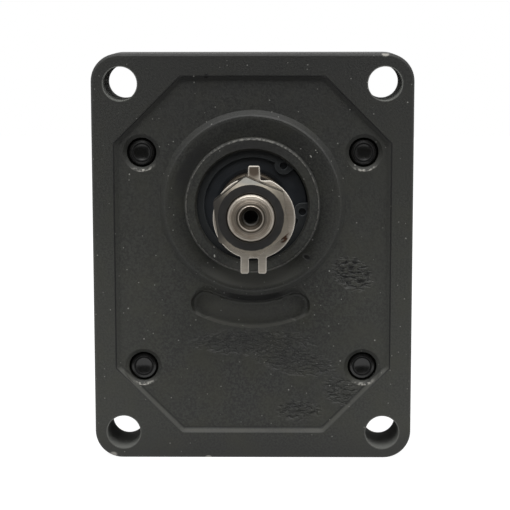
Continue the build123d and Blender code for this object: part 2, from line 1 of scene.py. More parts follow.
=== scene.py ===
"""External gear pump with a rectangular flange and a tapered shaft, finished for display.

Lengths are in metres unless a name ends in _mm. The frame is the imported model's: the drive shaft lies
along Y with its nose towards -Y, +Z is up, and the origin is on the shaft axis in the plane of the
mounting face.
"""

import json
import math

import bmesh
import bpy
import numpy as np
from mathutils import Euler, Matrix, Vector


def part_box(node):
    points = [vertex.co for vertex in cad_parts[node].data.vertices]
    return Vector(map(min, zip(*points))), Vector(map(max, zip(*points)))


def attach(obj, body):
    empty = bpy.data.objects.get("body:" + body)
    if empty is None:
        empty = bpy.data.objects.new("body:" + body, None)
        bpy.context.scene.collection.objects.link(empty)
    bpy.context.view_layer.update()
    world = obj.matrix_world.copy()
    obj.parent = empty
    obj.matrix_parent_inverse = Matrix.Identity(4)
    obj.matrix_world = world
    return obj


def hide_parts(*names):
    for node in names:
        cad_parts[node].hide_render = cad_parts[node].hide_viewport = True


MM = 0.001
FULL_TURN = 2 * math.pi

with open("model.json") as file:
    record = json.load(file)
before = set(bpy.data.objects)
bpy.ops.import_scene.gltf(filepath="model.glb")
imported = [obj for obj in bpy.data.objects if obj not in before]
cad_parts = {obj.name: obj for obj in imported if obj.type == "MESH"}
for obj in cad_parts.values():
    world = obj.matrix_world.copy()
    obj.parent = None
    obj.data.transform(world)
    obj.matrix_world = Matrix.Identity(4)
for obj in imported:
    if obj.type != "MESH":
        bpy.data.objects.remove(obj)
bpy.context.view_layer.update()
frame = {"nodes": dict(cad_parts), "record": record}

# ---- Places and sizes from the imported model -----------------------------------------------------

def mount(name):
    """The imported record's mount of that name."""
    return next(m for m in frame["record"]["mounts"] if m["name"] == name)


flange_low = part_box("front_flange")[0]
nut_low, nut_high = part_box("shaft_nut")
washer_low, washer_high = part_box("tab_washer")
circlip_low, circlip_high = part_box("seal_circlip")
bolts_low, bolts_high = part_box("through_bolts")
cover_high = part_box("rear_cover")[1]
body_low, body_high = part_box("pump_body")
holes = mount("mounting_holes")
mount_axes_mm = [(holes["pos_m"][0] / MM + x * holes["dims"]["spacing_x_mm"] / 2,
                  holes["pos_m"][2] / MM + z * holes["dims"]["spacing_y_mm"] / 2)
                 for x in (-1, 1) for z in (-1, 1)]
ports = [mount("inlet_port"), mount("outlet_port")]
head_r = 6.5 * MM
bolt_axes_mm = [(x / MM, z / MM) for x in (bolts_low.x + head_r, bolts_high.x - head_r)
                for z in (bolts_low.z + head_r, bolts_high.z - head_r)]


# ---- Mesh tools ---------------------------------------------------------------------------------

def grid_faces(rows, columns, first=0):
    """Quads between neighbouring points of a grid of rows x columns, whose columns close into a ring.
    first is the number of the grid's first point."""
    row, column = np.meshgrid(np.arange(rows - 1), np.arange(columns), indexing="ij")
    after = (column + 1) % columns
    quads = np.stack([row * columns + column, row * columns + after, (row + 1) * columns + after,
                      (row + 1) * columns + column], axis=-1)
    return quads.reshape(-1, 4) + first


def make_piece(name, grids, finish, sharp_angle=30, caps=(), rims=None):
    """One object from a list of point grids of shape rows x columns x 3, whose columns close into rings.
    caps lists sets of (grid number, row number): the rings of one set bound a flat face. rims is kept as
    the attribute "rim": for each row, or each point, how near it is to a rubbed edge, from 0 to 1."""
    points, faces, starts, count = [], [], [], 0
    for grid in grids:
        rows, columns = grid.shape[:2]
        points.append(grid.reshape(-1, 3))
        faces.append(grid_faces(rows, columns, count))
        starts.append(count)
        count += rows * columns
    mesh = bpy.data.meshes.new(name)
    mesh.from_pydata(np.concatenate(points).tolist(), [], np.concatenate(faces).tolist())
    if rims is not None:
        rims = np.asarray(rims, float).reshape(len(rims), -1)
        worn = np.concatenate([np.broadcast_to(rims, grid.shape[:2]).ravel() for grid in grids])
        mesh.attributes.new("rim", "FLOAT", "POINT").data.foreach_set("value", worn.astype(np.float32))
    shape = bmesh.new()
    shape.from_mesh(mesh)
    shape.verts.ensure_lookup_table()
    for rings in caps:
        edges = []
        for grid, row in rings:
            columns = grids[grid].shape[1]
            first = starts[grid] + (row % grids[grid].shape[0]) * columns
            edges += [shape.edges.get((shape.verts[first + i], shape.verts[first + (i + 1) % columns]))
                      for i in range(columns)]
        bmesh.ops.triangle_fill(shape, edges=edges, use_beauty=True)
    bmesh.ops.remove_doubles(shape, verts=shape.verts, dist=0.002 * MM)
    bmesh.ops.dissolve_degenerate(shape, edges=shape.edges, dist=0.002 * MM)
    bmesh.ops.recalc_face_normals(shape, faces=shape.faces)
    shape.to_mesh(mesh)
    shape.free()
    mesh.polygons.foreach_set("use_smooth", np.ones(len(mesh.polygons), bool))
    mesh.set_sharp_from_angle(angle=math.radians(sharp_angle))
    mesh.materials.append(finish)
    piece = bpy.data.objects.new(name, mesh)
    bpy.context.scene.collection.objects.link(piece)
    return piece


def turned(depth, radius, angle, axis=(0.0, 0.0)):
    """Points round an axis parallel to Y: X and Z are the axis's plus radius times cosine and sine of
    the angle. depth and radius are given for each row, or for each row and angle."""
    depth, radius = np.broadcast_arrays(np.asarray(depth, float), np.asarray(radius, float))
    if depth.ndim == 1:
        depth, radius = depth[:, None], radius[:, None]
    depth, radius, angle = np.broadcast_arrays(depth, radius, angle)
    return np.stack([axis[0] + radius * np.cos(angle), depth, axis[1] + radius * np.sin(angle)], axis=-1)


def hexagon(flat, angle, turn, roundness=60):
    """Distance from a hexagon's centre to its outline at each angle. flat is the distance to its sides,
    one of which faces the angle turn. Near a corner the two sides are blended by a power mean, which
    rounds it."""
    sides = turn + np.arange(6) * FULL_TURN / 6
    nearness = np.maximum(np.cos(np.asarray(angle)[..., None] - sides), 0) / flat
    return (nearness ** roundness).sum(axis=-1) ** (-1 / roundness)


def arc(centre, radius, start, end, count):
    """Points of an arc in the X-Z plane, with angles in degrees."""
    angle = np.radians(np.linspace(start, end, count))
    return np.stack([centre[0] + radius * np.cos(angle), centre[1] + radius * np.sin(angle)], axis=-1)


def rounded(corners, radii, steps=6):
    """A closed outline with its corners rounded. Each arc touches both of its corner's sides at
    radius x tan(half the turn) from the corner, and its points divide the turn evenly."""
    before, after = np.roll(corners, 1, axis=0) - corners, np.roll(corners, -1, axis=0) - corners
    before /= np.linalg.norm(before, axis=1, keepdims=True)
    after /= np.linalg.norm(after, axis=1, keepdims=True)
    half_turn = (math.pi - np.arccos(np.clip((before * after).sum(axis=1), -1, 1))) / 2
    middle = before + after
    length = np.linalg.norm(middle, axis=1, keepdims=True)
    middle = np.divide(middle, length, out=np.zeros_like(middle), where=length > 1e-9)
    centres = corners + middle * (radii / np.cos(half_turn))[:, None]
    share = np.linspace(-1, 1, steps + 1)[None, :, None]
    along = after - before
    along = along / np.maximum(np.linalg.norm(along, axis=1, keepdims=True), 1e-12)
    angle = share * half_turn[:, None, None]
    points = centres[:, None] + radii[:, None, None] * (np.sin(angle) * along[:, None]
                                                        - np.cos(angle) * middle[:, None])
    points = points.reshape(-1, 2)
    apart = np.linalg.norm(points - np.roll(points, 1, axis=0), axis=1) > 0.004 * MM
    return points[apart]


def plate(name, outlines, front, back, edge, finish):
    """A flat plate across Y between front and back. outlines are closed X-Z paths, the outer one
    counterclockwise and each hole's clockwise. Every rim is carried along its outline: the edge's
    section is a quarter circle of radius edge at each face and straight between. The attribute "rim"
    is 1 on the edge and fades to 0 over twice its radius."""
    quarter = np.linspace(0, math.pi / 2, 5)
    face_inset = edge * np.array([3.2, 2.2, 1.4])
    inset = np.concatenate([face_inset, edge * (1 - np.sin(quarter)), edge * (1 - np.sin(quarter[::-1])),
                            face_inset[::-1]])
    rise = np.concatenate([np.zeros(3), edge * (1 - np.cos(quarter))])
    depth = np.concatenate([front + rise, back - rise[::-1]])
    rims = np.clip((3.2 * edge - inset) / (1.8 * edge), 0, 1)
    grids = []
    for outline in outlines:
        along = np.roll(outline, -1, axis=0) - np.roll(outline, 1, axis=0)
        along /= np.linalg.norm(along, axis=1, keepdims=True)
        inward = np.stack([-along[:, 1], along[:, 0]], axis=-1)
        flat = outline[None] + inset[:, None, None] * inward[None]
        grids.append(np.stack([flat[..., 0], np.broadcast_to(depth[:, None], flat.shape[:2]),
                               flat[..., 1]], axis=-1))
    every = range(len(outlines))
    return make_piece(name, grids, finish, caps=[[(i, 0) for i in every], [(i, -1) for i in every]],
                      rims=rims)


def stand_for(piece, node, body):
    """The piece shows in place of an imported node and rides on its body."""
    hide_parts(node)
    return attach(piece, body)


# ---- Material tools -----------------------------------------------------------------------------

def linear(code):
    """An sRGB hex colour, such as "8f877c", as a linear RGBA tuple."""
    parts = [int(code[i:i + 2], 16) / 255 for i in (0, 2, 4)]
    return (*(c / 12.92 if c <= 0.04045 else ((c + 0.055) / 1.055) ** 2.4 for c in parts), 1.0)


def add_node(material, kind, links=None, **settings):
    """Adds a shader node. links maps an input's name or number to a value or to an output that feeds it,
    and each other keyword is a property of the node."""
    node = material.node_tree.nodes.new(kind)
    for key, value in settings.items():
        setattr(node, key, value)
    for key, value in (links or {}).items():
        if isinstance(value, bpy.types.NodeSocket):
            material.node_tree.links.new(value, node.inputs[key])
        else:
            node.inputs[key].default_value = value
    return node


def new_material(name, shader):
    """A material with one Principled shader, whose inputs are set from the dict shader.

    Returns the material, its shader, and the Object coordinates in millimetres."""
    material = bpy.data.materials.new(name)
    material.use_nodes = True
    principled = material.node_tree.nodes["Principled BSDF"]
    for key, value in shader.items():
        principled.inputs[key].default_value = value
    place = add_node(material, "ShaderNodeTexCoord").outputs["Object"]
    place_mm = add_node(material, "ShaderNodeVectorMath", {0: place, 1: (1000, 1000, 1000)},
                        operation="MULTIPLY").outputs[0]
    return material, principled, place_mm


def feed(material, shader, **sources):
    """Links outputs to the shader's inputs: colour, rough, metal, normal."""
    names = {"colour": "Base Color", "rough": "Roughness", "metal": "Metallic", "normal": "Normal"}
    for key, source in sources.items():
        material.node_tree.links.new(source, shader.inputs[names[key]])


def patch(material, place, centre, radii, turn=0.0, soft=0.6):
    """1 inside an ellipsoid and 0 outside, fading over the share soft of its radii. The ellipsoid has
    that centre and those radii along X, Y and Z in millimetres, turned by turn degrees about Y."""
    moved = add_node(material, "ShaderNodeMapping", {
        "Vector": place, "Location": centre, "Rotation": (0, math.radians(turn), 0), "Scale": radii},
        vector_type="TEXTURE")
    away = add_node(material, "ShaderNodeVectorMath", {0: moved.outputs[0]}, operation="LENGTH")
    return add_node(material, "ShaderNodeMapRange", {
        "Value": away.outputs["Value"], "From Min": 1.0, "From Max": 1.0 - soft},
        interpolation_type="SMOOTHSTEP").outputs[0]


def distance_from_axis(material, place, x=0.0, z=0.0):
    """Distance in millimetres from an axis parallel to Y through that X and Z."""
    moved = add_node(material, "ShaderNodeVectorMath", {0: place, 1: (x, 0, z)}, operation="SUBTRACT")
    flat = add_node(material, "ShaderNodeVectorMath", {0: moved.outputs[0], 1: (1, 0, 1)},
                    operation="MULTIPLY")
    return add_node(material, "ShaderNodeVectorMath", {0: flat.outputs[0]},
                    operation="LENGTH").outputs["Value"]


def band(material, value, middle, half_width, core=0.3):
    """1 where the value is within core x half_width of middle, fading to 0 at half_width from it."""
    off = add_node(material, "ShaderNodeMath", {0: value, 1: middle}, operation="SUBTRACT")
    off = add_node(material, "ShaderNodeMath", {0: off.outputs[0]}, operation="ABSOLUTE")
    return add_node(material, "ShaderNodeMapRange", {
        "Value": off.outputs[0], "From Min": half_width, "From Max": core * half_width},
        interpolation_type="SMOOTHSTEP").outputs[0]


def dots(material, place, spacing, radius, share):
    """1 on scattered round dots of that radius: one to a cell of that spacing in millimetres, and none in
    the cells past the share kept."""
    cells = add_node(material, "ShaderNodeTexVoronoi", {"Vector": place, "Scale": 1 / spacing})
    dot = add_node(material, "ShaderNodeMapRange", {
        "Value": cells.outputs["Distance"], "From Min": radius / spacing, "From Max": 0.4 * radius / spacing})
    lot = add_node(material, "ShaderNodeSeparateColor", {0: cells.outputs["Color"]})
    kept = add_node(material, "ShaderNodeMath", {0: lot.outputs[0], 1: share}, operation="LESS_THAN")
    return add_node(material, "ShaderNodeMath", {0: dot.outputs[0], 1: kept.outputs[0]},
                    operation="MULTIPLY").outputs[0]


def times(material, *values):
    """Product of outputs or numbers."""
    product = values[0]
    for value in values[1:]:
        product = add_node(material, "ShaderNodeMath", {
            0: product, 1: value}, operation="MULTIPLY").outputs[0]
    return product


def most(material, *values):
    """The greatest of several outputs."""
    greatest = values[0]
    for value in values[1:]:
        greatest = add_node(material, "ShaderNodeMath", {0: greatest, 1: value},
                            operation="MAXIMUM").outputs[0]
    return greatest


def layered(material, ground, *layers):
    """The ground colour with others laid over it in turn. Each layer is a share from 0 to 1 and a colour.
    A colour is an sRGB hex code or an output."""
    for share, colour in layers:
        under, over = (linear(c) if isinstance(c, str) else c for c in (ground, colour))
        ground = add_node(material, "ShaderNodeMix", {"Factor": share, 6: under, 7: over},
                          data_type="RGBA").outputs[2]
    return ground


def surface(material, shader, colour, relief, gloss, dull=None, **sources):
    """Gives the shader a colour, a bump and a roughness. relief is a height, the bump's strength and its
    depth in millimetres. gloss is an output with the roughness where it is 0 and where it is 1, and dull
    an output that raises it."""
    height, strength, depth = relief
    bump = add_node(material, "ShaderNodeBump", {
        "Height": height, "Strength": strength, "Distance": depth * MM})
    value, low, high = gloss
    rough = add_node(material, "ShaderNodeMapRange", {
        "Value": value, "To Min": low, "To Max": high}).outputs[0]
    if dull is not None:
        rough = most(material, rough, dull)
    feed(material, shader, colour=colour, rough=rough, normal=bump.outputs[0], **sources)
    return material


def turning_marks(material, place, pitch, x=0.0, z=0.0):
    """Noise that is the same all the way round an axis and changes along it and away from it, as a lathe
    tool leaves it: rings on a face, hoops on a cylinder. pitch is in millimetres."""
    away = distance_from_axis(material, place, x, z)
    parts = add_node(material, "ShaderNodeSeparateXYZ", {0: place})
    rings = add_node(material, "ShaderNodeCombineXYZ", {0: away, 1: parts.outputs[1]})
    return add_node(material, "ShaderNodeTexNoise", {
        "Vector": rings.outputs[0], "Scale": 1 / pitch, "Detail": 2.0, "Roughness": 0.6}).outputs["Fac"]


# ---- Finishes -----------------------------------------------------------------------------------

def painted_iron():
    """Satin black enamel sprayed over sand-cast iron. It gives a nearly black, slightly olive surface
    with a soft gloss, in which the mould's sand is still felt, and iron bared where edges are rubbed,
    on the seats of the through bolts and in the machined ports."""
    paint, shader, place = new_material("satin_black_enamel_on_cast_iron", {"IOR": 1.5})
    # in millimetres: the radii of the pilot, the ring's crest and the two walls of the kidney recess,
    # and the Z of the face's middle and of the relief's lower corners
    pilot, crest, brow_r, far_wall = 18.25, 24.0, 26.9, 34.4
    face_middle, lower_corners = -15.5, -45.6
    parts = add_node(paint, "ShaderNodeSeparateXYZ", {0: place})
    height_z = parts.outputs[2]
    aside = add_node(paint, "ShaderNodeMath", {0: parts.outputs[0]}, operation="ABSOLUTE").outputs[0]
    away = distance_from_axis(paint, place)

    # sand grains of 0.5 mm under the film, and a film whose thickness wanders over 20 mm
    sand = add_node(paint, "ShaderNodeTexNoise", {
        "Vector": place, "Scale": 1 / 0.55, "Detail": 2.0, "Roughness": 0.65}).outputs["Fac"]
    film = add_node(paint, "ShaderNodeTexNoise", {
        "Vector": place, "Scale": 1 / 20, "Detail": 3.0}).outputs["Fac"]
    stain = add_node(paint, "ShaderNodeTexNoise", {
        "Vector": place, "Scale": 1 / 8, "Detail": 4.0}).outputs["Fac"]
    tone = add_node(paint, "ShaderNodeMapRange", {
        "Value": sand, "From Min": 0.4, "From Max": 0.6}).outputs[0]
    shift = add_node(paint, "ShaderNodeMapRange", {
        "Value": film, "From Min": 0.35, "From Max": 0.65, "To Max": 0.4}).outputs[0]
    stained = add_node(paint, "ShaderNodeMapRange", {
        "Value": stain, "From Min": 0.45, "From Max": 0.7, "To Max": 0.5}).outputs[0]
    # handled sides are dustier; painted shade darkens the ring's upper left and the pilot face above the shaft,
    # the face towards its top and the flange's bottom edge
    dusty = add_node(paint, "ShaderNodeMapRange", {
        "Value": aside, "From Min": 14.0, "From Max": 40.0, "To Max": 0.3}).outputs[0]
    painted_shade = most(paint,
                times(paint, band(paint, away, crest - 3.7, 3.0), 0.95,
                      patch(paint, place, (-16, 0.5, 10), (13, 5, 15), 38, 0.8)),
                times(paint, band(paint, away, pilot - 1.75, 2.6), 0.9,
                      patch(paint, place, (0, -5, 17), (17, 5, 13), 0, 0.8)),
                add_node(paint, "ShaderNodeMapRange", {
                    "Value": height_z, "From Min": -25.0, "From Max": 38.0, "To Max": 0.7}).outputs[0],
                add_node(paint, "ShaderNodeMapRange", {
                    "Value": height_z, "From Min": -61.0, "From Max": -69.0, "To Max": 0.5}).outputs[0])
    # the kidney recess: painted light on its floor and its lower edge, painted shadow under its brow; painted
    # light below the pilot, where the pilot's shadow falls
    recess = patch(paint, place, (-0.6, 3, -31.5), (18.5, 6, 8.5), 0, 0.3)
    painted_light = most(paint, times(paint, band(paint, away, far_wall - 0.25, 0.45), recess, 0.8),
               times(paint, band(paint, away, pilot + 0.25, 5.0, 0.8),
                     patch(paint, place, (0, -1, -20), (17, 8, 9), 0, 0.6)),
               times(paint, patch(paint, place, (-0.6, 4, -30.5), (16.5, 2, 5.5), 0, 0.4), 0.22))
    painted_brow_shadow = times(paint, band(paint, away, brow_r - 0.6, 1.7),
                 patch(paint, place, (0.5, 2, -25), (13.5, 5, 7), 0, 0.6))

    # the relief's edge: the distance outside an octagon is the greatest of the distances outside its
    # sides
    side, top, bottom, bevel = body_high.x / MM, body_high.z / MM, -body_low.z / MM, 18.1
    slant = side - bevel
    outside = add_node(paint, "ShaderNodeMath", {0: aside, 1: side}, operation="SUBTRACT").outputs[0]
    folded = add_node(paint, "ShaderNodeCombineXYZ", {0: aside, 2: height_z})
    for across, up, reach in ((0, 1, top), (0, -1, bottom), (1, 1, slant + top), (1, -1, slant + bottom)):
        length = math.hypot(across, up)
        along = add_node(paint, "ShaderNodeVectorMath", {
            0: folded.outputs[0], 1: (across / length, 0, up / length)}, operation="DOT_PRODUCT")
        outside = most(paint, outside, add_node(paint, "ShaderNodeMath", {
            0: along.outputs["Value"], 1: reach / length}, operation="SUBTRACT").outputs[0])
    face_only = patch(paint, place, (0, 0, face_middle), (90, 4, 90), 0, 0.3)
    # painted shade: a dark line with a shallow groove lies along it, faint on the lower slants, whose walls get
    # a painted highlight and painted shade at their foot
    upper = add_node(paint, "ShaderNodeMapRange", {
        "Value": height_z, "From Min": -62.0, "From Max": -44.0, "To Min": 0.1}).outputs[0]
    edge_groove_and_painted_shade = times(paint, band(paint, outside, 0.0, 0.3),
                   patch(paint, place, (0, 0, face_middle), (60, 1.2, 60), 0, 0.1), upper)
    below = add_node(paint, "ShaderNodeMapRange", {
        "Value": height_z, "From Min": lower_corners + 1.1, "From Max": lower_corners - 0.9}).outputs[0]
    painted_ledge_highlight = times(paint, band(paint, outside, -0.5, 0.65), below, face_only, film, 0.6)
    foot = times(paint, band(paint, outside, -1.25, 0.35), below, face_only, 0.6)
    # the film is thick on the other walls, and on the kidney's, and rounds them over, so they shade like
    # the face
    above = add_node(paint, "ShaderNodeMapRange", {
        "Value": height_z, "From Min": lower_corners - 1.4, "From Max": lower_corners + 0.6,
        "To Max": 0.85}).outputs[0]
    ends = [band(paint, distance_from_axis(paint, place, x, z), 3.0, 1.4, 0.6)
            for x, z in ((12.0, -28.2), (-13.2, -27.7))]
    eased = most(paint, times(paint, band(paint, outside, -0.585, 0.7, 0.85), above, face_only),
                 times(paint, most(paint, band(paint, away, far_wall - 1.5, 1.0, 0.7), *ends), recess, 0.9))

    # casting flaws: creases about 1.5 mm long and 0.5 mm wide, deepest right of the kidney recess
    lying = add_node(paint, "ShaderNodeMapping", {"Vector": place, "Rotation": (0, math.radians(-12), 0),
                                                  "Scale": (1 / 1.7, 1 / 1.7, 1 / 0.75)})
    folds = add_node(paint, "ShaderNodeTexNoise", {"Vector": lying.outputs[0], "Scale": 1.0, "Detail": 1.5,
                                                   "Distortion": 0.5}).outputs["Fac"]
    crease = add_node(paint, "ShaderNodeMapRange", {"Value": folds, "From Min": 0.42, "From Max": 0.66},
                      interpolation_type="SMOOTHSTEP").outputs[0]
    deepest = patch(paint, place, (27.3, 1.4, -19.3), (6.8, 4, 4.9), 32, 0.45)
    rough = most(paint, deepest, *[
        times(paint, share, patch(paint, place, (x, 1.4, z), radii, turn, soft))
        for share, x, z, radii, turn, soft in (
            (0.95, 0.0, -38.5, (20, 4, 4.4), 0, 0.6), (0.95, 11.0, -43.5, (14, 4, 4.7), 12, 0.6),
            (0.7, 24.0, -52.0, (6, 4, 5), 30, 0.7), (0.8, 12.7, -57.6, (8, 4, 3.4), 0, 0.7))])
    pits = most(paint, patch(paint, place, (-12.4, 0.4, 34.5), (1.0, 2, 0.8), 0, 0.5),
                patch(paint, place, (14.8, 0.5, -14.6), (1.5, 2, 0.9), 30, 0.6))
    hollow = times(paint, rough, crease)
    sink = most(paint, hollow, times(paint, pits, 0.15), times(paint, edge_groove_and_painted_shade, 0.12))
    # the pilot's chamfer is rounded off on its front half by the paint
    flattened = add_node(paint, "ShaderNodeMapRange", {
        "Value": away, "From Min": 17.35, "From Max": 17.8, "To Max": 0.45 * math.sqrt(2)}).outputs[0]
    height = add_node(paint, "ShaderNodeMath", {
        0: times(paint, sand, 0.06), 1: sink}, operation="SUBTRACT").outputs[0]
    height = add_node(paint, "ShaderNodeMath", {0: height, 1: flattened}, operation="ADD").outputs[0]
    relief = add_node(paint, "ShaderNodeBump", {"Height": height, "Strength": 1.0, "Distance": MM})
    facing = add_node(paint, "ShaderNodeMix", {"Factor": eased, 4: relief.outputs[0], 5: (0, -1, 0)},
                      data_type="VECTOR").outputs[1]
    facing = add_node(paint, "ShaderNodeVectorMath", {0: facing}, operation="NORMALIZE").outputs[0]

    # the mounting holes are raw and oily inside, and dirt fills the joints of the body
    raw = most(paint, *[
        add_node(paint, "ShaderNodeMapRange", {"Value": distance_from_axis(paint, place, x, z),
                                               "From Min": 4.9, "From Max": 4.7}).outputs[0]
        for x, z in mount_axes_mm])
    seams = most(paint, *[band(paint, parts.outputs[1], y / MM, 0.25) for y in (body_low.y, body_high.y)])
    # painted shade in the creases and pits, along the relief's edge and at the foot of its lower walls, and
    # dirt in the body's joints
    painted_shade_and_seam_dirt = most(paint, times(paint, deepest, crease), times(paint, hollow, 0.35), pits,
                 times(paint, edge_groove_and_painted_shade, 0.9), foot, times(paint, seams, 0.9))

    # rubbed edges, broken up at 0.4 mm
    broken = add_node(paint, "ShaderNodeTexNoise", {
        "Vector": place, "Scale": 1 / 0.8, "Detail": 3.0}).outputs["Fac"]
    flaked = add_node(paint, "ShaderNodeMapRange", {
        "Value": broken, "From Min": 0.42, "From Max": 0.58}).outputs[0]
    # worn chamfer line, widened on its top arc as a painted highlight where the top light falls
    wear_and_painted_highlight_crown = patch(paint, place, (0, -5, 19), (19, 2.2, 16), 0, 0.6)
    worn = [times(paint, band(paint, away, pilot - 0.45, 0.2), flaked, 0.5),
            times(paint, band(paint, away, pilot - 0.15, 0.35), wear_and_painted_highlight_crown, flaked, 0.45)]
    # bare iron on each bolt seat is kept to its lower side, where the top light falls: worn metal and painted
    # highlight
    for x, z in bolt_axes_mm:
        seat = band(paint, distance_from_axis(paint, place, x, z), 4.8, 0.5)
        low = patch(paint, place, (x + 0.3, 0.8, z - 4.7), (4.2, 3, 2.8), -10, 0.5)
        worn.append(times(paint, seat, low, flaked))
    worn += [patch(paint, place, centre, radii, 0, 0.5) for centre, radii in (
        ((35.7, 0.3, 40.4), (1.3, 1.2, 0.9)), ((-38.7, 0.3, -69.9), (1.4, 1.2, 1.0)),
        ((-12.3, 0.3, -70.7), (1.2, 1.2, 0.8)))]
    for port in ports:
        x, y, z = (part / MM for part in port["pos_m"])
        facing_r = port["dims"]["r_mm"] + 4.5
        worn.append(patch(paint, place, (math.copysign(37, x), y, z), (36, facing_r, facing_r), 0, 0.01))
    bare = most(paint, *worn)
    machined = turning_marks(paint, place, 0.5)
    iron = layered(paint, "6e6c67", (machined, "a3a19b"))

    # dust specks 0.3 mm across, and the scratches above the relief
    dust = [times(paint, dots(paint, place, 4.5, 0.26, 0.7), 0.55),
            times(paint, dots(paint, place, 6.7, 0.28, 0.7), 0.6),
            times(paint, dots(paint, place, 2.3, 0.22, 0.7), 0.4),
            times(paint, dots(paint, place, 0.9, 0.26, 0.5),
                  patch(paint, place, (-7.0, 0, 37.6), (3.2, 2, 0.9), -15, 0.4))]
    dust += [patch(paint, place, (x, y, z), (width, 1, tall), turn, 0.5) for x, y, z, width, tall, turn in (
        (17.1, 0.7, 14.6, 0.3, 0.25, 0), (17.5, 0.7, 14.0, 0.22, 0.22, 0), (15.8, 0.7, 12.9, 0.2, 0.5, -35),
        (21.0, 0.9, -18.6, 0.32, 0.28, 0), (-10.2, -5.2, -13.5, 0.22, 0.5, -8))]

    colour = layered(paint, "11110f", (tone, "32332f"), (shift, "242521"), (stained, "2f2f24"),
                     (dusty, "474843"), (painted_shade, "0c0c0b"), (painted_light, "565651"), (painted_brow_shadow, "090908"),
                     (painted_ledge_highlight, "6c6c67"), (painted_shade_and_seam_dirt, "0a0a09"), (times(paint, raw, 0.9), "70716d"),
                     (bare, iron), (most(paint, *dust), "b4b4ae"))
    gloss = add_node(paint, "ShaderNodeMapRange", {"Value": sand, "To Min": 0.46, "To Max": 0.7}).outputs[0]
    gloss = most(paint, gloss, raw, painted_shade_and_seam_dirt, painted_brow_shadow)
    feed(paint, shader, colour=colour, rough=gloss, metal=times(paint, bare, 0.8), normal=facing)
    return paint


def turned_steel():
    """Case-hardened steel turned on a lathe and left bare. It gives fine rings on the shaft's end, a
    brownish film of old oil, painted shade in the countersink and painted highlights on its lip and the end's
    chamfer."""
    steel, shader, place = new_material("turned_case_hardened_steel", {"Metallic": 1.0})
    parts = add_node(steel, "ShaderNodeSeparateXYZ", {0: place})
    away = distance_from_axis(steel, place)
    # the radii of the threaded hole, its countersink and the end's chamfer, and the Y of the washer's
    # front, in millimetres
    hole, sink, chamfer, washer = 2.15, 3.05, 5.75, -24.5
    # tool marks 0.24 mm apart; real ones are 0.1 mm and would not show
    marks = turning_marks(steel, place, 0.24)
    film = add_node(steel, "ShaderNodeTexNoise", {
        "Vector": place, "Scale": 1 / 3, "Detail": 4.0}).outputs["Fac"]
    tone = add_node(steel, "ShaderNodeMapRange", {
        "Value": marks, "From Min": 0.38, "From Max": 0.62}).outputs[0]
    oiled = add_node(steel, "ShaderNodeMapRange", {
        "Value": film, "From Min": 0.4, "From Max": 0.7, "To Max": 0.55}).outputs[0]
    # behind the washer the taper is darker
    behind = add_node(steel, "ShaderNodeMapRange", {
        "Value": parts.outputs[1], "From Min": washer, "From Max": washer + 1.5, "To Max": 0.85}).outputs[0]
    # painted shade darkens the countersink and the first tool marks round it
    sunk = add_node(steel, "ShaderNodeMapRange", {
        "Value": away, "From Min": sink, "From Max": sink - 0.15}).outputs[0]
    painted_sink_shade = most(steel, times(steel, sunk, 0.85), times(steel, band(steel, away, sink + 0.55, 0.5), 0.5))
    # painted highlights on the countersink's lip and the end's chamfer
    painted_highlight_rings = most(steel, band(steel, away, sink + 0.07, 0.2), band(steel, away, chamfer, 0.6))
    # the threaded hole in the end is a dull, non-metallic grey
    bored = add_node(steel, "ShaderNodeMapRange", {
        "Value": away, "From Min": hole, "From Max": hole - 0.2}).outputs[0]
    bright = add_node(steel, "ShaderNodeMath", {0: 1.0, 1: bored}, operation="SUBTRACT").outputs[0]
    colour = layered(steel, "6e655a", (tone, "bcb3a6"), (oiled, "77695a"), (behind, "3b352d"),
                     (painted_sink_shade, "2a241d"), (times(steel, painted_highlight_rings, 0.45), "ded6ca"), (bored, "5c5a55"))
    # the end face falls away slightly from its middle, so its upper half takes more light
    fall = times(steel, away, away, -0.02)
    height = add_node(steel, "ShaderNodeMath", {
        0: times(steel, marks, 0.15), 1: fall}, operation="ADD").outputs[0]
    return surface(steel, shader, colour, (height, 1.0, 1.0), (film, 0.3, 0.45), metal=bright)


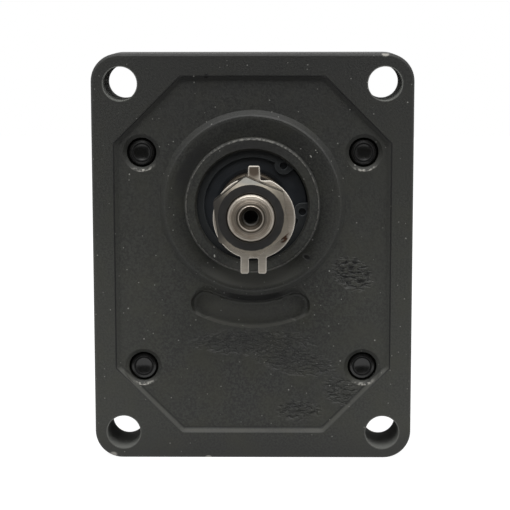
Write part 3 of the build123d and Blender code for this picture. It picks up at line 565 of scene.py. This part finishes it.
def pressed_steel():
    """Cold-rolled strip, pressed and left bare. It gives a warm grey face, bright sheared edges, a
    browner tab and one spot of rust."""
    steel, shader, place = new_material("pressed_cold_rolled_steel", {"Metallic": 1.0})
    # rolling grain 0.3 mm wide along X, drawn coarser than the real 0.05 mm
    lying = add_node(steel, "ShaderNodeMapping", {"Vector": place, "Scale": (1 / 2.5, 1 / 2.5, 1 / 0.35)})
    grain = add_node(steel, "ShaderNodeTexNoise", {
        "Vector": lying.outputs[0], "Scale": 1.0, "Detail": 3.0}).outputs["Fac"]
    film = add_node(steel, "ShaderNodeTexNoise", {
        "Vector": place, "Scale": 1 / 1.6, "Detail": 4.0}).outputs["Fac"]
    spread = add_node(steel, "ShaderNodeMapRange", {
        "Value": film, "From Min": 0.3, "From Max": 0.48}).outputs[0]
    rim = add_node(steel, "ShaderNodeAttribute", attribute_name="rim").outputs["Fac"]
    left = patch(steel, place, (-13.0, -24, 3.0), (17, 8, 17), 0, 0.8)
    tab = patch(steel, place, (0.7, -24, 12.0), (2.6, 3, 3.3), 0, 0.5)
    right = patch(steel, place, (9.5, -24, 1.0), (4.0, 3, 7.5), 0, 0.8)
    brown = most(steel, times(steel, left, 0.35), times(steel, tab, 0.88), times(steel, right, 0.5))
    spot = patch(steel, place, (8.7, -24.2, -6.0), (1.1, 2, 2.2), 35, 0.5)
    rust = most(steel, times(steel, spot, spread),
                times(steel, 0.25, spread, patch(steel, place, (8.5, -24.2, -6.5), (3.0, 2, 7.0), 30, 0.8)))
    colour = layered(steel, "c0b8ab", (grain, "e2dace"), (brown, "57493c"), (rust, "45260d"),
                     (times(steel, rim, 0.8), "d6d0c6"))
    shine = add_node(steel, "ShaderNodeMath", {0: 1.0, 1: rust}, operation="SUBTRACT").outputs[0]
    return surface(steel, shader, colour, (grain, 0.5, 0.03), (film, 0.44, 0.62), metal=shine)


def blacked_nut_steel():
    """Steel blacked in hot oil. It gives a dark satin face with faint scuffs, and the chamfer and the
    corners rubbed back to grey steel."""
    steel, shader, place = new_material("oil_blacked_nut_steel", {})
    away = distance_from_axis(steel, place)
    smut = add_node(steel, "ShaderNodeTexNoise", {
        "Vector": place, "Scale": 1 / 1.1, "Detail": 4.0}).outputs["Fac"]
    waver = add_node(steel, "ShaderNodeMath", {
        0: times(steel, smut, 0.5), 1: away}, operation="ADD").outputs[0]
    outside = add_node(steel, "ShaderNodeMapRange", {
        "Value": waver, "From Min": 8.55, "From Max": 8.75}).outputs[0]
    lip = band(steel, away, 6.35, 0.25)
    scuff = times(steel, patch(steel, place, (7.6, -31.3, 5.5), (1.5, 2, 2.1), -35, 0.7),
                  add_node(steel, "ShaderNodeMapRange", {
                      "Value": smut, "From Min": 0.42, "From Max": 0.6}).outputs[0])
    bare = most(steel, outside, times(steel, lip, 0.25), times(steel, scuff, 0.5))
    # painted shade dims the grey of the corner at the top, where the top light falls, and the left side is
    # darker
    top = patch(steel, place, (0.0, -31, 10.5), (6.5, 3, 3.0), 0, 0.5)
    left = patch(steel, place, (-12, -31, 0), (9.5, 9, 12), 0, 0.5)
    grey = layered(steel, "565149", (smut, "7c766c"), (top, "585753"), (left, "3c3a37"))
    colour = layered(steel, "242322", (smut, "323130"), (bare, grey))
    metal = add_node(steel, "ShaderNodeMapRange", {"Value": bare, "To Min": 0.15, "To Max": 1.0}).outputs[0]
    return surface(steel, shader, colour, (smut, 0.5, 0.04), (smut, 0.36, 0.5), metal=metal)


def black_oxide_steel():
    """Alloy steel bolts, rolled and black-oxided. It gives a deep glossy black with a faint brown bloom
    and small handling marks."""
    steel, shader, place = new_material("black_oxide_bolt_steel", {"Metallic": 0.2})
    bloom = add_node(steel, "ShaderNodeTexNoise", {
        "Vector": place, "Scale": 1 / 2.0, "Detail": 4.0}).outputs["Fac"]
    marks = dots(steel, place, 1.6, 0.12, 0.5)
    # painted shade: a dark ring lies in the corner of each dished end
    lips = [band(steel, distance_from_axis(steel, place, x, z), 2.45, 0.42) for x, z in bolt_axes_mm]
    painted_dish_shade = times(steel, most(steel, *lips), patch(steel, place, (0, 2.9, 0), (90, 2, 90), 0, 0.1))
    colour = layered(steel, "121313", (bloom, "222120"), (times(steel, marks, 0.4), "6b6966"), (painted_dish_shade, "040404"))
    return surface(steel, shader, colour, (bloom, 0.5, 0.04), (bloom, 0.14, 0.3), dull=painted_dish_shade)


def phosphated_spring():
    """Spring steel with an oiled phosphate coat. It gives a dull near-black with a crystal grain and
    slightly rubbed edges."""
    steel, shader, place = new_material("oiled_phosphate_spring_steel", {"Metallic": 0.1})
    # phosphate crystals, drawn at 0.25 mm where real ones are 0.02 mm
    crystal = add_node(steel, "ShaderNodeTexNoise", {
        "Vector": place, "Scale": 1 / 0.5, "Detail": 3.0}).outputs["Fac"]
    rim = add_node(steel, "ShaderNodeAttribute", attribute_name="rim").outputs["Fac"]
    colour = layered(steel, "0b0e0f", (crystal, "181b1d"), (times(steel, rim, 0.2), "3c4143"))
    return surface(steel, shader, colour, (crystal, 0.5, 0.03), (crystal, 0.4, 0.6))


def cast_aluminium():
    """Aluminium bearing blocks, extruded and milled. It gives a pale grey with fine cutter marks."""
    metal, shader, place = new_material("milled_aluminium", {"Metallic": 1.0})
    marks = turning_marks(metal, place, 0.5)
    colour = layered(metal, "a5a5a2", (marks, "c9c9c6"))
    return surface(metal, shader, colour, (marks, 0.5, 0.02), (marks, 0.28, 0.42))


def sintered_bronze():
    """Bushes of bronze sintered from powder. It gives a warm yellow-brown with open pores."""
    metal, shader, place = new_material("sintered_bronze", {"Metallic": 1.0})
    pores = dots(metal, place, 0.5, 0.12, 0.7)
    cloud = add_node(metal, "ShaderNodeTexNoise", {
        "Vector": place, "Scale": 1 / 2.5, "Detail": 3.0}).outputs["Fac"]
    colour = layered(metal, "957040", (cloud, "b98f57"), (times(metal, pores, 0.7), "4a3721"))
    return surface(metal, shader, colour, (times(metal, pores, -1), 0.6, 0.04), (cloud, 0.3, 0.45))


def moulded_rubber(name, dark, pale, roughness):
    """Moulded rubber: matt to satin, with the mould's fine grain and a little bloom. dark and pale are
    its two tones."""
    rubber, shader, place = new_material(name, {"IOR": 1.52})
    bloom = add_node(rubber, "ShaderNodeTexNoise", {
        "Vector": place, "Scale": 1 / 3.0, "Detail": 4.0}).outputs["Fac"]
    grain = add_node(rubber, "ShaderNodeTexNoise", {
        "Vector": place, "Scale": 1 / 0.4, "Detail": 2.0}).outputs["Fac"]
    return surface(rubber, shader, layered(rubber, dark, (bloom, pale)), (grain, 0.5, 0.03),
                   (bloom, roughness - 0.08, roughness + 0.08))


def moulded_nylon():
    """Backup strips of moulded nylon. It gives a waxy off-white, a little yellower where it is thick."""
    nylon, shader, place = new_material("moulded_nylon", {"IOR": 1.53, "Subsurface Weight": 0.1,
                                                          "Subsurface Scale": 0.001})
    cloud = add_node(nylon, "ShaderNodeTexNoise", {
        "Vector": place, "Scale": 1 / 4.0, "Detail": 3.0}).outputs["Fac"]
    colour = layered(nylon, "cfc7ae", (cloud, "dfdac9"))
    return surface(nylon, shader, colour, (cloud, 0.4, 0.05), (cloud, 0.4, 0.55))


def tapped_iron():
    """Cast iron cut by a tap and left oiled. It gives grey threads with brighter crests, torn a little
    along the cut, and darker roots."""
    iron, shader, place = new_material("tapped_cast_iron", {"Metallic": 0.9})
    torn = add_node(iron, "ShaderNodeTexNoise", {
        "Vector": place, "Scale": 1 / 0.7, "Detail": 3.0}).outputs["Fac"]
    crest = add_node(iron, "ShaderNodeAttribute", attribute_name="rim").outputs["Fac"]
    colour = layered(iron, "34332f", (crest, layered(iron, "6a6863", (torn, "8f8d87"))))
    return surface(iron, shader, colour, (torn, 0.6, 0.05), (torn, 0.3, 0.5))


FINISHES = {
    "black_paint": painted_iron(),
    "turned_steel": turned_steel(),
    "pressed_steel": pressed_steel(),
    "spring_steel": phosphated_spring(),
    "dark_nut_steel": blacked_nut_steel(),
    "blackened_steel": black_oxide_steel(),
    "block_aluminium": cast_aluminium(),
    "bush_bronze": sintered_bronze(),
    "black_rubber": moulded_rubber("nitrile_rubber", "151515", "232323", 0.6),
    "blue_rubber": moulded_rubber("blue_black_fluoro_rubber", "070b10", "0e141a", 0.45),
    "backup_plastic": moulded_nylon()}
TAPPED = tapped_iron()

for node in frame["nodes"].values():
    for material_slot in node.material_slots:
        material_slot.material = FINISHES[material_slot.material.name]


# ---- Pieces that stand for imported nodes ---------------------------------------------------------

def shaft_nut():
    """The hexagon nut. Its front face ends in a circle; from there a 30 degree cone runs back until it
    meets the six sides, so each point of their upper edge stands behind the face by its distance from
    the circle times tan 30."""
    flat, face, mouth, bore = 9.0 * MM, 8.4 * MM, 6.4 * MM, 5.95 * MM
    front, back = nut_low.y, nut_high.y
    angle = np.linspace(0, FULL_TURN, 241)[:-1]
    side = hexagon(flat, angle, math.radians(7.8))
    cone = front + (side - face) * math.tan(math.radians(30))
    ring = np.ones_like(angle)
    rows = [
        (back * ring, bore * ring),
        ((front + 0.5 * MM) * ring, bore * ring),
        (front * ring, mouth * ring),
        *[(front * ring, (mouth + t * (face - mouth)) * ring) for t in (0.3, 0.6, 0.95)],
        *[(front + t * (cone - front), face + t * (side - face)) for t in np.linspace(0, 1, 7)],
        *[(cone + t * (back - cone), side) for t in (0.1, 0.4, 0.7, 0.97)],
        (back * ring, side - 0.2 * MM),
        (back * ring, 7.0 * MM * ring),
        (back * ring, bore * ring),
    ]
    depth, radius = (np.array(part) for part in zip(*rows))
    return make_piece("hexagon_nut", [turned(depth, radius, angle)], FINISHES["dark_nut_steel"])


def tab_washer():
    """The pressed tab washer: a disc with a flat beside the tab, the tab above it and a pair of prongs
    below, all with rounded corners and rolled edges."""
    disc, hole, tab_reach = 10.6 * MM, 7.2 * MM, 13.5 * MM
    flat, tab_top, tab_foot = 9.7 * MM, 1.45 * MM, 1.62 * MM
    gap, prong, tip, slot = 1.225 * MM, 3.325 * MM, 14.4 * MM, 10.4 * MM
    shift = -0.15 * MM
    middle = np.array([(washer_low.x + washer_high.x) / 2, washer_high.z - tab_reach])
    foot = -math.sqrt(disc ** 2 - prong ** 2)
    flat_end = math.degrees(math.asin(flat / disc))
    left_foot = math.degrees(math.atan2(foot, -prong + shift)) + 360
    right_foot = math.degrees(math.atan2(foot, prong + shift)) + 360
    upper_left = arc((0, 0), disc, 180 - flat_end, left_foot, 90)
    right_side = arc((0, 0), disc, right_foot, 360 + flat_end, 90)
    prongs = np.array([(-prong, -tip), (-gap, -tip), (-gap, -slot), (gap, -slot), (gap, -tip),
                       (prong, -tip)]) + (shift, 0)
    tab = np.array([(tab_foot, flat), (tab_top, tab_reach), (-tab_top, tab_reach), (-tab_foot, flat)])
    corners = np.concatenate([upper_left, prongs, right_side, tab])
    radii = np.full(len(corners), 0.45 * MM)
    smooth = np.r_[1:len(upper_left) - 1, len(upper_left) + 7:len(upper_left) + 5 + len(right_side)]
    radii[smooth] = 0
    outline = rounded(corners, radii) + middle
    bore = arc(middle, hole, 360, 0, 73)[:-1]
    return plate("tab_washer_plate", [outline, bore], washer_low.y, washer_high.y, 0.14 * MM,
                 FINISHES["pressed_steel"])


def circlip():
    """The bored-hole circlip: an open ring whose ends widen into lugs. Each lug's outline is a circle
    round its eye, from the ring's inner circle to the gap."""
    ring, inner, eyes, lug, eye = 15.65 * MM, 12.95 * MM, 13.6 * MM, 2.4 * MM, 1.0 * MM
    low_lug, high_lug = -7.5, 52.0
    half = math.degrees(math.asin(lug / eyes))
    meeting = math.degrees(math.acos((eyes ** 2 + inner ** 2 - lug ** 2) / (2 * eyes * inner)))
    outer = arc((0, 0), ring, high_lug - half, 360 + low_lug + half, 200)
    inner_arc = arc((0, 0), inner, 360 + low_lug - meeting, high_lug + meeting, 160)
    ends = []
    for lug_angle, way in ((360 + low_lug, 1), (high_lug, -1)):
        centre = eyes * np.array([math.cos(math.radians(lug_angle)), math.sin(math.radians(lug_angle))])
        touch = lug_angle + way * 90 + way * half
        met = inner * np.array([math.cos(math.radians(lug_angle - way * meeting)),
                                math.sin(math.radians(lug_angle - way * meeting))]) - centre
        met_angle = math.degrees(math.atan2(met[1], met[0]))
        sweep = (met_angle - touch) * way % 360
        ends.append(arc(centre, lug, touch, touch + way * sweep, 24))
    corners = np.concatenate([outer, ends[0], inner_arc, ends[1][::-1]])
    outline = rounded(corners, np.zeros(len(corners)))
    holes = [arc(eyes * np.array([math.cos(math.radians(a)), math.sin(math.radians(a))]), eye, 360, 0, 33)[:-1]
             for a in (low_lug, high_lug)]
    return plate("bore_circlip", [outline, *holes], circlip_low.y, circlip_high.y, 0.12 * MM,
                 FINISHES["spring_steel"])


def through_bolts():
    """The four socket-head bolts, each a profile turned round its axis: a dished end, the shank, and a
    head whose rim carries a straight knurl, with a hexagon socket."""
    tip, seat, top = bolts_low.y, cover_high.y + 1.6 * MM, bolts_high.y
    angle = np.linspace(0, FULL_TURN, 193)[:-1]
    ring = np.ones_like(angle)
    dish = np.linspace(0, 1, 7)
    knurl = 1 - 0.018 * np.abs(np.sin(24 * angle))
    socket = hexagon(3.0 * MM, angle, 0.0, roundness=40)
    profile = [(0.6 - 0.45 * t ** 2, 2.45 * t) for t in dish]
    profile += [(0.0, 2.45), (0.03, 2.53), (0.2, 3.33), (0.26, 3.38), (1.05, 3.97), (1.15, 4.0)]
    rows = [((tip + y * MM) * ring, max(r, 1e-4) * MM * ring) for y, r in profile]
    rows += [((seat - 0.1 * MM) * ring, 4.0 * MM * ring), (seat * ring, 4.1 * MM * ring),
             (seat * ring, 6.1 * MM * ring), ((seat + 0.3 * MM) * ring, 6.4 * MM * ring)]
    rows += [((seat + y * MM) * ring, 6.5 * MM * knurl) for y in (0.5, 3.0, 5.5)]
    rows += [((seat + 5.8 * MM) * ring, 6.42 * MM * ring), ((seat + 7.0 * MM) * ring, 6.4 * MM * ring),
             (top * ring, 5.6 * MM * ring), (top * ring, 4.2 * MM * ring),
             ((top - 0.02 * MM) * ring, 3.75 * MM * ring), ((top - 0.45 * MM) * ring, socket),
             ((top - 3.6 * MM) * ring, socket), ((top - 4.0 * MM) * ring, 1e-7 * ring)]
    depth, radius = (np.array(part) for part in zip(*rows))
    axes = [(x * MM, z * MM) for x, z in bolt_axes_mm]
    return make_piece("through_bolt_set", [turned(depth, radius, angle, axis) for axis in axes],
                      FINISHES["blackened_steel"])


def port_threads(name, port):
    """A port's thread: a sleeve inside the tapped hole whose inner radius, from root to crest, is a
    triangle wave of the distance along the port plus a share of the pitch for the angle round it."""
    pitch, depth = 1.814 * MM, 0.75 * MM
    root = port["dims"]["r_mm"] * MM - 0.02 * MM
    side = math.copysign(1, port["pos_m"][0])
    outer, inner = body_high.x - 1.2 * MM, body_high.x - 15.8 * MM
    along = np.linspace(outer, inner, 93)[:, None]
    angle = np.linspace(0, FULL_TURN, 121)[:-1]
    phase = (along / pitch + angle / FULL_TURN) % 1
    wave = np.clip(1.15 - 2.3 * np.abs(phase - 0.5), 0, 1)
    run_out = np.clip(np.minimum(outer - along, along - inner) / (0.8 * MM), 0, 1)
    crest = wave * run_out
    radius = np.concatenate([root - depth * crest, np.full((2, len(angle)), root + 0.01 * MM),
                             (root - depth * crest)[:1]])
    distance = np.concatenate([along, [[inner], [outer]], along[:1]])
    sleeve = turned(side * distance, radius, angle, axis=(port["pos_m"][1], port["pos_m"][2]))
    crests = np.concatenate([crest, np.zeros((2, len(angle))), crest[:1]])
    piece = make_piece(name, [sleeve[..., [1, 0, 2]]], TAPPED, sharp_angle=50, rims=crests)
    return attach(piece, "housing")


stand_for(shaft_nut(), "shaft_nut", "drive_shaft")
stand_for(tab_washer(), "tab_washer", "drive_shaft")
stand_for(circlip(), "seal_circlip", "housing")
stand_for(through_bolts(), "through_bolts", "housing")
for port in ports:
    port_threads(port["name"] + "_thread", port)


# ---- Camera, light and floor --------------------------------------------------------------------

camera = bpy.data.objects.new("camera", bpy.data.cameras.new("camera"))
bpy.context.scene.collection.objects.link(camera)
camera.location = (0.006309, -0.460348, 0.052347)
camera.rotation_euler = Euler([math.radians(a) for a in (81.800, 0.065, 0.694)])
camera.data.lens = 120.44
camera.data.sensor_width = 36.0
camera.data.clip_start, camera.data.clip_end = 0.01, 20.0
bpy.context.scene.camera = camera


def softbox(name, place, aim, width, height, watts):
    """A rectangular soft lamp at place, facing aim."""
    lamp = bpy.data.objects.new(name, bpy.data.lights.new(name, "AREA"))
    bpy.context.scene.collection.objects.link(lamp)
    lamp.data.shape, lamp.data.size, lamp.data.size_y, lamp.data.energy = "RECTANGLE", width, height, watts
    lamp.location = place
    lamp.rotation_euler = (Vector(aim) - Vector(place)).to_track_quat("-Z", "Y").to_euler()
    return lamp


softbox("top_softbox", (0.0, -0.42, 0.68), (0, 0.0, 0), 1.0, 0.5, 6.5)
softbox("front_softbox", (-0.15, -0.9, 0.65), (0, 0, 0), 0.5, 0.3, 1.0)


def slab(name, corners):
    """A flat stage sheet with those corners."""
    sheet = bpy.data.objects.new(name, bpy.data.meshes.new(name))
    bpy.context.scene.collection.objects.link(sheet)
    sheet.data.from_pydata(corners, [], [(0, 1, 2, 3)])
    return sheet


level = flange_low.z
floor = slab("floor", [(-1, -0.12, level), (1, -0.12, level), (1, 1.2, level), (-1, 1.2, level)])
card = slab("dark_card", [(-1.1, -1.4, -0.9), (-1.1, -1.4, 0.7), (1.1, -1.4, 0.7), (1.1, -1.4, -0.9)])
card.visible_camera = False

# White studio paper: seen or mirrored directly it is white, and it still takes the soft shadow.
paper = bpy.data.materials.new("white_studio_paper")
paper.use_nodes = True
tree = paper.node_tree
tree.nodes.remove(tree.nodes["Principled BSDF"])
rays = add_node(paper, "ShaderNodeLightPath")
shown = add_node(paper, "ShaderNodeMath", {
    0: rays.outputs["Is Camera Ray"], 1: rays.outputs["Is Glossy Ray"]},
                 operation="MAXIMUM")
shown = add_node(paper, "ShaderNodeMath", {0: shown.outputs[0], 1: rays.outputs["Is Transmission Ray"]},
                 operation="MAXIMUM")
glow = add_node(paper, "ShaderNodeMath", {0: shown.outputs[0], 1: 0.95}, operation="MULTIPLY")
surface = add_node(paper, "ShaderNodeAddShader", {
    0: add_node(paper, "ShaderNodeBsdfDiffuse", {"Color": linear("8c8c8c")}).outputs[0],
    1: add_node(paper, "ShaderNodeEmission", {"Strength": glow.outputs[0]}).outputs[0]})
tree.links.new(surface.outputs[0], tree.nodes["Material Output"].inputs["Surface"])
floor.data.materials.append(paper)

# Black flock cloth in front of the object, which bare metal mirrors as its dark side.
flock = new_material("black_flock_cloth", {"Base Color": linear("1c1c1c"), "Roughness": 0.9})[0]
card.data.materials.append(flock)

world = bpy.data.worlds.new("studio")
world.use_nodes = True
bpy.context.scene.world = world
rays = add_node(world, "ShaderNodeLightPath")
shown = add_node(world, "ShaderNodeMath", {
    0: rays.outputs["Is Camera Ray"], 1: rays.outputs["Is Glossy Ray"]},
                 operation="MAXIMUM")
shown = add_node(world, "ShaderNodeMath", {0: shown.outputs[0], 1: rays.outputs["Is Transmission Ray"]},
                 operation="MAXIMUM")
strength = add_node(world, "ShaderNodeMapRange", {"Value": shown.outputs[0], "To Min": 0.4, "To Max": 1.0})
world.node_tree.links.new(strength.outputs[0], world.node_tree.nodes["Background"].inputs["Strength"])
world.node_tree.nodes["Background"].inputs["Color"].default_value = (1, 1, 1, 1)

bpy.context.scene.view_settings.view_transform = "Standard"

bpy.context.view_layer.update()
